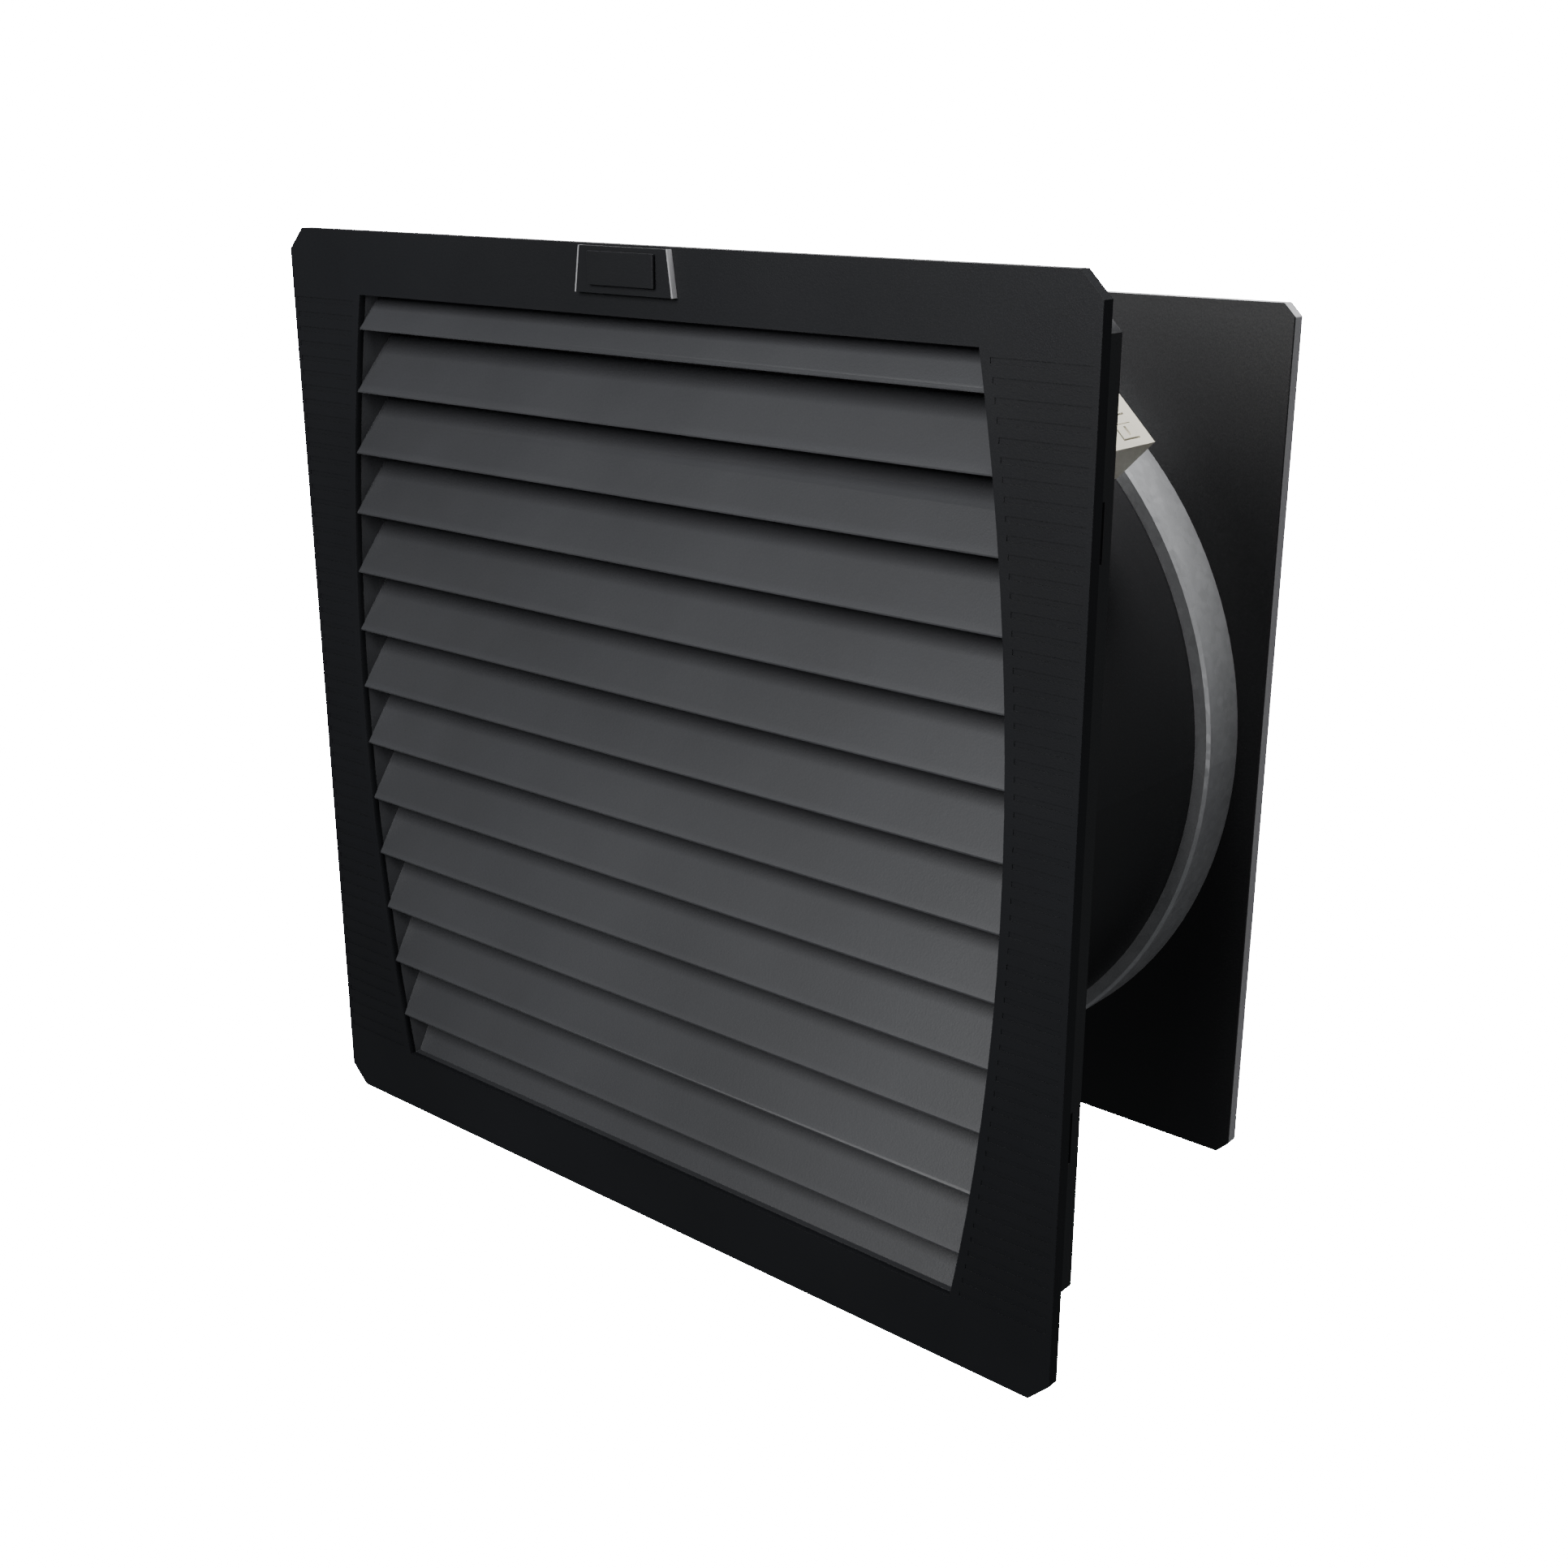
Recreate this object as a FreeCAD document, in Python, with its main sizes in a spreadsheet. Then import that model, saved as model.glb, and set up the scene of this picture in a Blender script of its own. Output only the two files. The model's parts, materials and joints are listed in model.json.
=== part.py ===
"""Filter fan unit: a louvred, hinged filter cover on a snap-in panel frame, with a ducted axial fan.

Frame: the origin is the centre of the panel cut-out in the plane where the flange meets the panel,
+Z is up, the louvres face -Y and the fan stands behind the panel on +Y. Millimetres.
"""
import FreeCAD, Part
import math
import os

import Sketcher

SIZES = {
    # cover
    "cover_side": 320, "cover_depth": 5.2, "cover_plate": 2.4, "rim_wall": 2.5, "rim_gap": 1.0,
    "cover_corner": 7, "window_height": 277.3, "window_rise": 0.85, "window_half_width": 137.3,
    "window_arc": 740, "insert_wall": 1.8, "insert_rear": 10.5, "insert_front": -2.7,
    "louvre_count": 14, "louvre_pitch": 20.9, "louvre_top": 128.6, "louvre_front": -4.6,
    "louvre_reach": 13.4, "louvre_lift": 17.8, "louvre_lip": 0.5, "louvre_thick": 2.6,
    "rib_count": 56, "rib_pitch": 4.94, "rib_groove": 1.6, "rib_depth": 0.22, "rib_centre": 0.65,
    # latch
    "block_top": 159.4, "block_bottom": 146, "block_half_top": 17.5, "block_half_bottom": 19.4,
    "block_proud": 1.9, "strip_thick": 0.5, "pad_half": 13.3, "pad_bottom": 148.4, "pad_top": 158,
    "pad_proud": 3.1, "spring_at": 9.5, "spring_foot": 141.75, "spring_depth": -3.75, "spring_radius": 0.85,
    "spring_pitch": 1.15, "spring_length": 7.9, "spring_wire": 0.2,
    # hinge
    "hinge_depth": -2.3, "hinge_drop": -158.7, "hinge_at": 110, "knuckle_radius": 1.2,
    "knuckle_width": 12, "pin_radius": 0.7, "pin_fit": 0.05,
    # frame
    "flange_half": 156.4, "flange_depth": 2.3, "flange_corner": 6.5, "collar_half": 145,
    "collar_wall": 2, "collar_depth": 29.3, "back_wall": 2.5, "duct_opening": 124,
    "panel_hole_at": 151.5, "panel_hole_radius": 2.2, "gasket_inner": 146, "gasket_width": 3,
    "gasket_depth": 1.0, "clip_at": 90, "clip_width": 16, "clip_pivot": 143.2, "clip_pivot_depth": 22.4,
    # filter
    "filter_half": 135.5, "filter_front": 13.8, "filter_rear": 24.0, "grid_half": 140,
    "grid_depth": 2.5, "grid_pitch": 35, "grid_bar": 3,
    # duct
    "drum_radius": 129.5, "drum_wall": 2, "drum_rear": 115, "ring_radius": 134.5, "ring_wall": 1.6,
    "ring_front": 113.5, "plate_front": 132.1, "plate_half": 142.4, "plate_thick": 0.8,
    "plate_corner": 4, "tray_rear": 137.6, "drum_foot": 8, "drum_foot_thick": 2, "drum_screw_at": 133.6,
    "lead_entry": 66, "foot_screw_at": 51, "tray_wall": 1.4, "tray_opening": 127,
    # guard
    "wire_radius": 1.2, "guard_rings": 7, "guard_inner": 30, "guard_pitch": 15, "guard_reach": 137,
    "guard_lift": 1.4, "corner_rivet_at": 180,
    # motor and impeller
    "spider_front": 45, "spider_thick": 2.5, "spider_arm": 14, "spider_disc": 46,
    "base_radius": 40, "base_thick": 5.5, "tube_radius": 12, "bearing_radius": 9.5, "shaft_radius": 4,
    "shaft_fit": 0.05, "cup_radius": 45, "cup_wall": 3, "cup_front": 58, "cup_rear": 112,
    "blade_count": 7, "blade_tip": 121, "blade_middle": 88, "blade_thick": 2,
    "hub_pitch": 42, "tip_pitch": 23, "hub_chord": 44, "tip_chord": 74, "tip_sweep": -14,
    # terminal
    "terminal_half": 14, "terminal_inner": 146, "terminal_outer": 163, "terminal_front": 57,
    "terminal_rear": 84.3, "terminal_angle": 45, "button_pitch": 8.6, "entry_radius": 1.7,
    "lead_radius": 2.5,
}


class Length:
    """A number together with the sheet formula that it comes from."""

    def __init__(self, value, formula):
        self.value = value
        self.formula = formula

    def join(self, other, sign, value):
        other = other.formula if isinstance(other, Length) else repr(other)
        return Length(value, f"({self.formula} {sign} {other})")

    def __add__(self, other):
        return self.join(other, "+", self.value + number(other))

    def __sub__(self, other):
        return self.join(other, "-", self.value - number(other))

    def __mul__(self, other):
        return self.join(other, "*", self.value * number(other))

    def __truediv__(self, other):
        return self.join(other, "/", self.value / number(other))

    def __radd__(self, other):
        return self + other

    def __rsub__(self, other):
        return self * -1 + other

    def __rmul__(self, other):
        return self * other

    def __neg__(self):
        return self * -1


def number(length):
    return length.value if isinstance(length, Length) else float(length)


document = FreeCAD.newDocument("filter_fan")
sheet = document.addObject("Spreadsheet::Sheet", "Sheet")
for row, (alias, size) in enumerate(SIZES.items(), start=1):
    sheet.set(f"A{row}", alias)
    sheet.set(f"B{row}", str(size))
    sheet.setAlias(f"B{row}", alias)
document.recompute()
SIZE = {alias: Length(float(size), f"Sheet.{alias}") for alias, size in SIZES.items()}
VECTOR = FreeCAD.Vector
TURNS = {
    "X": FreeCAD.Rotation(VECTOR(0, 1, 0), 90),
    "Y": FreeCAD.Rotation(VECTOR(1, 0, 0), -90),
    "Z": FreeCAD.Rotation(),
}
NODES = []


def bind(item, prop, length):
    """Tie a property to the sheet, or to a plain number."""
    item.setExpression(prop, length.formula if isinstance(length, Length) else repr(float(length)))


def place(item, x, y, z, axis="Z"):
    item.Placement = FreeCAD.Placement(VECTOR(number(x), number(y), number(z)), TURNS[axis])
    for letter, length in zip("xyz", (x, y, z)):
        bind(item, f"Placement.Base.{letter}", length)


def box(name, x, y, z):
    """A box from (low, high) pairs."""
    item = document.addObject("Part::Box", name)
    for prop, (low, high) in zip(("Length", "Width", "Height"), (x, y, z)):
        bind(item, prop, high - low)
    place(item, x[0], y[0], z[0])
    return item


def cylinder(name, radius, span, centre, axis="Y"):
    """A cylinder; span is (low, high) along its axis and centre the two other coordinates."""
    item = document.addObject("Part::Cylinder", name)
    bind(item, "Radius", radius)
    bind(item, "Height", span[1] - span[0])
    base = list(centre)
    base.insert("XYZ".index(axis), span[0])
    place(item, *base, axis)
    return item


def tube(name, outer, inner, span, centre=(0, 0), axis="Y"):
    return cut(name, cylinder(name + "_outside", outer, span, centre, axis),
               cylinder(name + "_inside", inner, span, centre, axis))


def fuse(name, *items):
    result = document.addObject("Part::MultiFuse", name)
    result.Shapes = list(items)
    return result


def common(name, *items):
    result = document.addObject("Part::MultiCommon", name)
    result.Shapes = list(items)
    return result


def cut(name, base, *tools):
    result = document.addObject("Part::Cut", name)
    result.Base = base
    result.Tool = tools[0] if len(tools) == 1 else fuse(name + "_tools", *tools)
    return result


def shaped(name, shape):
    """A free shape worked out from the sheet's sizes."""
    result = document.addObject("Part::Feature", name)
    result.Shape = shape
    return result


def compound(name, *items):
    result = document.addObject("Part::Compound", name)
    result.Links = list(items)
    return result


def about_fan_axis(item, angle):
    item.Placement = FreeCAD.Placement(VECTOR(), FreeCAD.Rotation(VECTOR(0, 1, 0), angle))
    return item


def spun(name, item, angle):
    """The item held in a compound that is swung about the fan axis."""
    return about_fan_axis(compound(name, item), angle)


def node(name, item, turn=0):
    """Mark an object as a finished sub-part; turn swings it about the fan axis."""
    item.Label = name
    if turn:
        about_fan_axis(item, turn)
    NODES.append(item)
    return item


def both(length):
    """The symmetrical span about zero."""
    return (-length, length)


def origin_plane(body, role):
    return next(item for item in body.Origin.OriginFeatures if item.Role == role)


def sketch_on(body, name, role):
    sketch = body.newObject("Sketcher::SketchObject", name)
    sketch.AttachmentSupport = [(origin_plane(body, role), "")]
    sketch.MapMode = "FlatFace"
    return sketch


def outline(sketch, points):
    """A closed outline whose corners are tied to the sheet."""
    count = len(points)
    vectors = [VECTOR(number(x), number(y), 0) for x, y in points]
    for index in range(count):
        sketch.addGeometry(Part.LineSegment(vectors[index], vectors[(index + 1) % count]), False)
    for index in range(count):
        sketch.addConstraint(Sketcher.Constraint("Coincident", index, 2, (index + 1) % count, 1))
    for index, (x, y) in enumerate(points):
        for kind, length in (("DistanceX", x), ("DistanceY", y)):
            place_at = sketch.addConstraint(
                Sketcher.Constraint(kind, -1, 1, index, 1, number(length)))
            if isinstance(length, Length):
                sketch.setExpression(f"Constraints[{place_at}]", length.formula)


def octagon(half, corner):
    """A square outline with its corners cut off at 45 degrees."""
    near = half - corner
    return [(-near, -half), (near, -half), (half, -near), (half, near),
            (near, half), (-near, half), (-half, near), (-half, -near)]


def slab(name, points, front, rear):
    """A body padded from an XZ outline, from the front plane to the rear one."""
    body = document.addObject("PartDesign::Body", name)
    sketch = sketch_on(body, name + "_sketch", "XZ_Plane")
    outline(sketch, points)
    sketch.AttachmentOffset = FreeCAD.Placement(VECTOR(0, 0, -number(rear)), FreeCAD.Rotation())
    if isinstance(rear, Length):
        sketch.setExpression("AttachmentOffset.Base.z", (-rear).formula)
    pad = body.newObject("PartDesign::Pad", name + "_pad")
    pad.Profile = sketch
    bind(pad, "Length", rear - front)
    body.Tip = pad
    return body


def turned(name, points):
    """A body turned about the fan axis from an outline of (radius, depth) points."""
    body = document.addObject("PartDesign::Body", name)
    sketch = sketch_on(body, name + "_sketch", "XY_Plane")
    outline(sketch, points)
    revolution = body.newObject("PartDesign::Revolution", name + "_turn")
    revolution.Profile = sketch
    revolution.ReferenceAxis = (sketch, ["V_Axis"])
    revolution.Angle = 360
    body.Tip = revolution
    return body


def barrel(name, grow, front, rear):
    """The window's outline, grown outwards: flat top and bottom, bowed sides."""
    s = SIZE
    half = s["window_height"] / 2 + grow
    middle = s["window_rise"]
    block = box(name + "_block", both(s["cover_side"] / 2), (front, rear), (middle - half, middle + half))
    offset = s["window_arc"] - s["window_half_width"]
    sides = [cylinder(f"{name}_side_{side}", s["window_arc"] + grow, (front, rear), (centre, middle))
             for side, centre in (("left", offset), ("right", -offset))]
    return common(name, block, *sides)


# ---------------------------------------------------------------- cover

def front_cover():
    s = SIZE
    half = s["cover_side"] / 2
    front = -s["cover_depth"]
    plate_rear = front + s["cover_plate"]
    shell = slab("cover_shell", octagon(half, s["cover_corner"]), front, -s["rim_gap"])
    inner = half - s["rim_wall"]
    hollow = slab("cover_hollow", octagon(inner, s["cover_corner"] - 1.5), plate_rear,
                  s["rim_gap"] + 1)
    half_top, half_bottom = s["block_half_top"], s["block_half_bottom"]
    block = slab("latch_block", [(-half_bottom, s["block_bottom"]), (half_bottom, s["block_bottom"]),
                                 (half_top, s["block_top"]), (-half_top, s["block_top"])],
                 front - s["block_proud"], plate_rear)
    slot = box("latch_slot", both(9), (front - 3, plate_rear + 1),
               (s["pad_bottom"] + 0.6, s["pad_top"] - 1.1))
    guide = fuse("latch_guide", box("latch_guide_top", both(12.3), (-4.9, plate_rear + 1), (141.2, 157.8)),
                 box("latch_guide_foot", both(7), (-4.9, plate_rear + 1), (138, 141.3)))
    notches = []
    for side, centre in (("left", -s["hinge_at"]), ("right", s["hinge_at"])):
        reach = s["knuckle_width"] / 2 + 0.4
        notches.append(box(f"hinge_notch_{side}", (centre - reach, centre + reach), (-4.0, 0),
                           (-half - 1, -half + s["rim_wall"] + 0.5)))
        reach = s["knuckle_width"] / 2 + 3
        notches.append(cylinder(f"hinge_bore_{side}", s["pin_radius"], (centre - reach, centre + reach),
                                (s["hinge_depth"], s["hinge_drop"]), "X"))
    body = fuse("cover_body", cut("cover_tray", shell, hollow), block)
    window = barrel("cover_window", 0, front - 2, 2)
    return node("front_cover", cut("front_cover", body, window, slot, guide, rib_grooves(), *notches))


def rib_grooves():
    """Shallow level grooves down both side bars, ending just outside the bowed window."""
    radius = SIZES["window_arc"]
    outer = SIZES["cover_side"] / 2 - 1.8
    depth = SIZES["rib_depth"]
    grooves = []
    for index in range(SIZES["rib_count"]):
        height = SIZES["rib_centre"] + (index - (SIZES["rib_count"] - 1) / 2) * SIZES["rib_pitch"]
        sagitta = radius - math.sqrt(radius ** 2 - (height - SIZES["window_rise"]) ** 2)
        inner = SIZES["window_half_width"] - sagitta + 3
        for start in (inner, -outer):
            grooves.append(Part.makeBox(
                outer - inner, depth + 1, SIZES["rib_groove"],
                VECTOR(start, -SIZES["cover_depth"] - 1, height - SIZES["rib_groove"] / 2)))
    return shaped("rib_grooves", Part.makeCompound(grooves))


def louvre_insert():
    """Sloping blades between the bowed side walls of a frame behind the window."""
    s = SIZE
    front, rear = s["insert_front"], s["insert_rear"]
    wall = cut("insert_wall_ring", barrel("insert_outside", s["insert_wall"], front, rear),
               barrel("insert_inside", 0, front - 1, rear + 1))
    catch_gap = box("insert_catch_gap", both(8), (front - 1, 2.2), (135, 145))
    blades = []
    reach, lift, lip = SIZES["louvre_reach"], SIZES["louvre_lift"], SIZES["louvre_lip"]
    thick = SIZES["louvre_thick"]
    side = VECTOR(-SIZES["cover_side"] / 2, 0, 0)
    start = SIZES["louvre_front"]
    for index in range(SIZES["louvre_count"]):
        top = SIZES["louvre_top"] - index * SIZES["louvre_pitch"]
        corners = [(start, top - lip), (start, top), (start + reach, top + lift),
                   (start + reach, top + lift - thick),
                   (start + (thick - lip) * reach / lift, top - lip)]
        section = [side + VECTOR(0, depth, height) for depth, height in corners]
        face = Part.Face(Part.makePolygon(section + section[:1]))
        blades.append(face.extrude(VECTOR(SIZES["cover_side"], 0, 0)))
    rack = shaped("louvre_rack", Part.makeCompound(blades))
    trim = fuse("louvre_trim", barrel("trim_front", -0.15, -5, front), barrel("trim_rear", 0.8, front, rear))
    insert = fuse("insert_solid", common("louvre_blades", rack, trim), cut("insert_frame", wall, catch_gap))
    return node("louvre_insert", insert)


def latch():
    s = SIZE
    front = -s["cover_depth"]
    pad = box("latch_pad", both(s["pad_half"]), (front - s["pad_proud"], front - s["block_proud"] - 0.3),
              (s["pad_bottom"], s["pad_top"]))
    stem = box("latch_stem", both(8.7), (-7.5, -4.6), (151.4, 156.4))
    slide = box("latch_slide", both(12), (-4.6, -3.2), (150.3, 157.4))
    leg = box("latch_leg", both(6.5), (-4.6, -3.2), (140.4, 150.4))
    arm = box("latch_arm", both(6.5), (-3.3, 1.8), (140.4, 141.9))
    barb = box("latch_barb", both(6.5), (-0.3, 1.8), (141.8, 142.7))
    node("latch_slider", fuse("latch_slider", pad, stem, slide, leg, arm, barb))
    latch_side_strips()
    coils = []
    radius = SIZES["spring_radius"]
    for side in (-1, 1):
        helix = Part.makeHelix(SIZES["spring_pitch"], SIZES["spring_length"], radius)
        wire = Part.Wire(helix.Edges)
        ring = Part.Wire([Part.makeCircle(SIZES["spring_wire"], VECTOR(radius, 0, 0), VECTOR(0, 1, 0))])
        coil = wire.makePipeShell([ring], True, True)
        coil.translate(VECTOR(SIZES["spring_at"] * side, SIZES["spring_depth"], SIZES["spring_foot"]))
        coils.append(coil)
    node("latch_springs", shaped("latch_springs", Part.makeCompound(coils)))


def latch_side_strips():
    """Two light inlays on the latch block's slanting side walls."""
    s = SIZE
    front = -s["cover_depth"]
    strips = []
    for side, sign in (("left", -1), ("right", 1)):
        low, high = s["block_half_bottom"] * sign, s["block_half_top"] * sign
        thick = s["strip_thick"] * sign
        strips.append(slab(f"latch_strip_{side}", [
            (low, s["block_bottom"]), (low + thick, s["block_bottom"]),
            (high + thick, s["block_top"]), (high, s["block_top"])], front - s["block_proud"], front))
    node("latch_side_strips", compound("latch_side_strips", *strips))


def hinge_pins():
    s = SIZE
    reach = s["knuckle_width"] / 2 + 3
    pins = [cylinder(f"hinge_pin_{side}", s["pin_radius"], (centre - reach, centre + reach),
                     (s["hinge_depth"], s["hinge_drop"]), "X")
            for side, centre in (("left", -s["hinge_at"]), ("right", s["hinge_at"]))]
    node("hinge_pins", compound("hinge_pins", *pins))


# ---------------------------------------------------------------- frame

def clip_places():
    for side, sign in (("left", -1), ("right", 1)):
        for level, height in (("lower", -SIZES["clip_at"]), ("upper", SIZES["clip_at"])):
            yield f"{side}_{level}", sign, height


def mounting_frame():
    s = SIZE
    flange = slab("flange", octagon(s["flange_half"], s["flange_corner"]), -s["flange_depth"], 0)
    collar = slab("collar", octagon(s["collar_half"], 3), -s["flange_depth"] / 2, s["collar_depth"])
    inner = s["collar_half"] - s["collar_wall"]
    hollow = box("collar_hollow", both(inner), (-s["flange_depth"] - 1, s["collar_depth"] - s["back_wall"]),
                 both(inner))
    opening = cylinder("duct_mouth", s["duct_opening"], (20, 40), (0, 0))
    outside = s["gasket_inner"] + s["gasket_width"]
    groove = cut("gasket_groove", slab("groove_outside", octagon(outside, 3), -s["gasket_depth"], 1),
                 slab("groove_inside", octagon(s["gasket_inner"], 3), -s["gasket_depth"] - 1, 2))
    hole_at = s["panel_hole_at"]
    holes = [cylinder(f"panel_hole_{index}", s["panel_hole_radius"], (-5, 5), (x, z))
             for index, (x, z) in enumerate(((-hole_at, -hole_at), (hole_at, -hole_at),
                                             (hole_at, hole_at), (-hole_at, hole_at)))]
    catch = box("catch_recess", both(8), (-0.6, 2.4), (142, 144.4))
    knuckles, bores = [], []
    for side, centre in (("left", -s["hinge_at"]), ("right", s["hinge_at"])):
        span = (centre - s["knuckle_width"] / 2, centre + s["knuckle_width"] / 2)
        at = (s["hinge_depth"], s["hinge_drop"])
        knuckles.append(cylinder(f"knuckle_{side}", s["knuckle_radius"], span, at, "X"))
        knuckles.append(box(f"knuckle_web_{side}", span, (s["hinge_depth"] - 0.2, -1.1), (-158.7, -156)))
        bores.append(cylinder(f"knuckle_bore_{side}", s["pin_radius"] + s["pin_fit"],
                              (span[0] - 1, span[1] + 1), at, "X"))
    windows, lugs, lug_bores = [], [], []
    for name, sign, height in clip_places():
        reach = s["clip_width"] / 2 + 0.4
        x = (141, 146) if sign > 0 else (-146, -141)
        windows.append(box(f"clip_window_{name}", x, (2.2, 25.0), (height - reach, height + reach)))
        x = (140.9, 144) if sign > 0 else (-144, -140.9)
        for end, low in (("top", height + reach), ("bottom", height - reach - 3)):
            lugs.append(box(f"clip_lug_{name}_{end}", x, (20.4, 24.4), (low, low + 3)))
        lug_bores.append(cylinder(f"clip_bore_{name}", 0.8, (height - reach - 3, height + reach + 3),
                                  (s["clip_pivot"] * sign, s["clip_pivot_depth"]), "Z"))
    drum_holes = []
    for index, (x, z) in enumerate(diagonals(SIZES["drum_screw_at"])):
        drum_holes.append(cylinder(f"drum_hole_{index}", 2, (20, 40), (x, z)))
    shell = fuse("frame_shell", flange, collar)
    open_shell = cut("frame_open", shell, hollow, opening, groove, catch, *holes, *windows, *drum_holes)
    return node("mounting_frame", cut("mounting_frame", fuse("frame_with_lugs", open_shell, *knuckles, *lugs),
                                      *bores, *lug_bores))


def diagonals(radius):
    """The four points at 45 degrees on a circle."""
    reach = radius / math.sqrt(2)
    return [(reach, reach), (-reach, reach), (-reach, -reach), (reach, -reach)]


def flange_gasket():
    s = SIZE
    outside = s["gasket_inner"] + s["gasket_width"]
    return node("flange_gasket", cut("flange_gasket",
                                     slab("gasket_outside", octagon(outside, 3), -s["gasket_depth"], 0),
                                     slab("gasket_inside", octagon(s["gasket_inner"], 3), -2, 1)))


def snap_clips():
    """Sprung tongues in the collar's sides, hinged at the rear, that grip behind the panel."""
    s = SIZE
    pivot_x, pivot_y = SIZES["clip_pivot"], SIZES["clip_pivot_depth"]
    for name, sign, height in clip_places():
        points = [(pivot_x - 0.6, pivot_y), (pivot_x + 1.5, pivot_y), (147.8, 4.4), (147.8, 3.2),
                  (145.6, 3.2), (145.0, 6.0)]
        wire = Part.makePolygon([VECTOR(x * sign, y, height - SIZES["clip_width"] / 2)
                                 for x, y in points + points[:1]])
        tongue = shaped(f"clip_tongue_{name}", Part.Face(wire).extrude(VECTOR(0, 0, SIZES["clip_width"])))
        span = (height - s["clip_width"] / 2, height + s["clip_width"] / 2)
        at = (s["clip_pivot"] * sign, s["clip_pivot_depth"])
        roll = cylinder(f"clip_roll_{name}", 1.7, span, at, "Z")
        bore = cylinder(f"clip_eye_{name}", 0.86, (span[0] - 1, span[1] + 1), at, "Z")
        node(f"snap_clip_{name}", cut(f"snap_clip_{name}", fuse(f"clip_solid_{name}", tongue, roll), bore))
    reach = s["clip_width"] / 2 + 3.4
    pins = [cylinder(f"clip_pin_{name}", 0.8, (height - reach, height + reach),
                     (s["clip_pivot"] * sign, s["clip_pivot_depth"]), "Z")
            for name, sign, height in clip_places()]
    node("snap_clip_pins", compound("snap_clip_pins", *pins))


def filter_parts():
    s = SIZE
    node("filter_mat", box("filter_mat", both(s["filter_half"]), (s["filter_front"], s["filter_rear"]),
                           both(s["filter_half"])))
    rear = s["collar_depth"] - s["back_wall"]
    span = (rear - s["grid_depth"], rear)
    half = s["grid_half"]
    rim = cut("grid_rim", box("grid_rim_outside", both(half), span, both(half)),
              box("grid_rim_inside", both(half - 6), (20, 30), both(half - 6)))
    bars = []
    for step in range(-3, 4):
        low, high = s["grid_pitch"] * step - s["grid_bar"] / 2, s["grid_pitch"] * step + s["grid_bar"] / 2
        bars.append(box(f"grid_upright_{step + 3}", (low, high), span, both(half - 3)))
        bars.append(box(f"grid_level_{step + 3}", both(half - 3), span, (low, high)))
    node("filter_support_grid", fuse("filter_support_grid", rim, *bars))


# ---------------------------------------------------------------- duct and guard

def duct_drum():
    s = SIZE
    outer, inner = s["drum_radius"], s["drum_radius"] - s["drum_wall"]
    front, foot = s["collar_depth"], s["drum_radius"] + s["drum_foot"]
    foot_rear = front + s["drum_foot_thick"]
    drum = turned("drum_turning", [(inner, front), (foot, front), (foot, foot_rear), (outer, foot_rear),
                                   (outer, s["drum_rear"]), (inner, s["drum_rear"])])
    places = diagonals(SIZES["drum_screw_at"])
    holes = [cylinder(f"drum_foot_hole_{index}", 2, (front - 1, foot_rear + 1), place_at)
             for index, place_at in enumerate(places)]
    at = s["foot_screw_at"]
    cross = fuse("arm_holes", cylinder("arm_hole_rising", 2, both(140), (at, 0), "X"),
                 cylinder("arm_hole_level", 2, both(140), (0, at), "Z"),
                 cylinder("lead_hole", 4.5, (110, 140), (0, s["lead_entry"]), "Z"))
    about_fan_axis(cross, SIZES["terminal_angle"])
    node("duct_drum", cut("duct_drum", drum, cross, *holes))
    bolts = [fuse(f"drum_screw_{index}",
                  cylinder(f"drum_bolt_{index}", 2, (front - s["back_wall"], foot_rear), place_at),
                  cylinder(f"drum_bolt_head_{index}", 3.4, (foot_rear, foot_rear + 2.2), place_at))
             for index, place_at in enumerate(places)]
    node("drum_screws", compound("drum_screws", *bolts))


def duct_ring():
    s = SIZE
    outer, inner = s["ring_radius"], s["ring_radius"] - s["ring_wall"]
    front = s["ring_front"]
    return node("duct_ring", turned("duct_ring_turning", [
        (s["drum_radius"], front), (outer - 1, front), (outer, front + 1), (outer, s["plate_front"]),
        (inner, s["plate_front"]), (inner, front + s["ring_wall"]), (s["drum_radius"], front + s["ring_wall"])]))


def fan_wall_plate():
    s = SIZE
    rear = s["plate_front"] + s["plate_thick"]
    plate = slab("wall_plate", octagon(s["plate_half"], s["plate_corner"]), s["plate_front"], rear)
    opening = cylinder("wall_plate_mouth", s["ring_radius"] - s["ring_wall"], (130, 136), (0, 0))
    holes = [cylinder(f"plate_hole_{index}", 2, (130, 136), (x, z))
             for index, (x, z) in enumerate(diagonals(SIZES["corner_rivet_at"]))]
    return node("fan_wall_plate", cut("fan_wall_plate", plate, opening, *holes))


def rear_frame():
    s = SIZE
    front = s["plate_front"] + s["plate_thick"]
    tray = slab("tray", octagon(s["plate_half"], s["plate_corner"]), front, s["tray_rear"])
    inner = s["plate_half"] - s["tray_wall"]
    hollow = slab("tray_hollow", octagon(inner, s["plate_corner"]), front + s["tray_wall"], s["tray_rear"] + 1)
    mouth = cylinder("tray_mouth", s["tray_opening"], (130, 140), (0, 0))
    holes = [cylinder(f"tray_hole_{place}_{index}", 2, (130, 140), (x, z))
             for place in (SIZES["guard_reach"], SIZES["corner_rivet_at"])
             for index, (x, z) in enumerate(diagonals(place))]
    return node("rear_frame", cut("rear_frame", tray, hollow, mouth, *holes))


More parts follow.
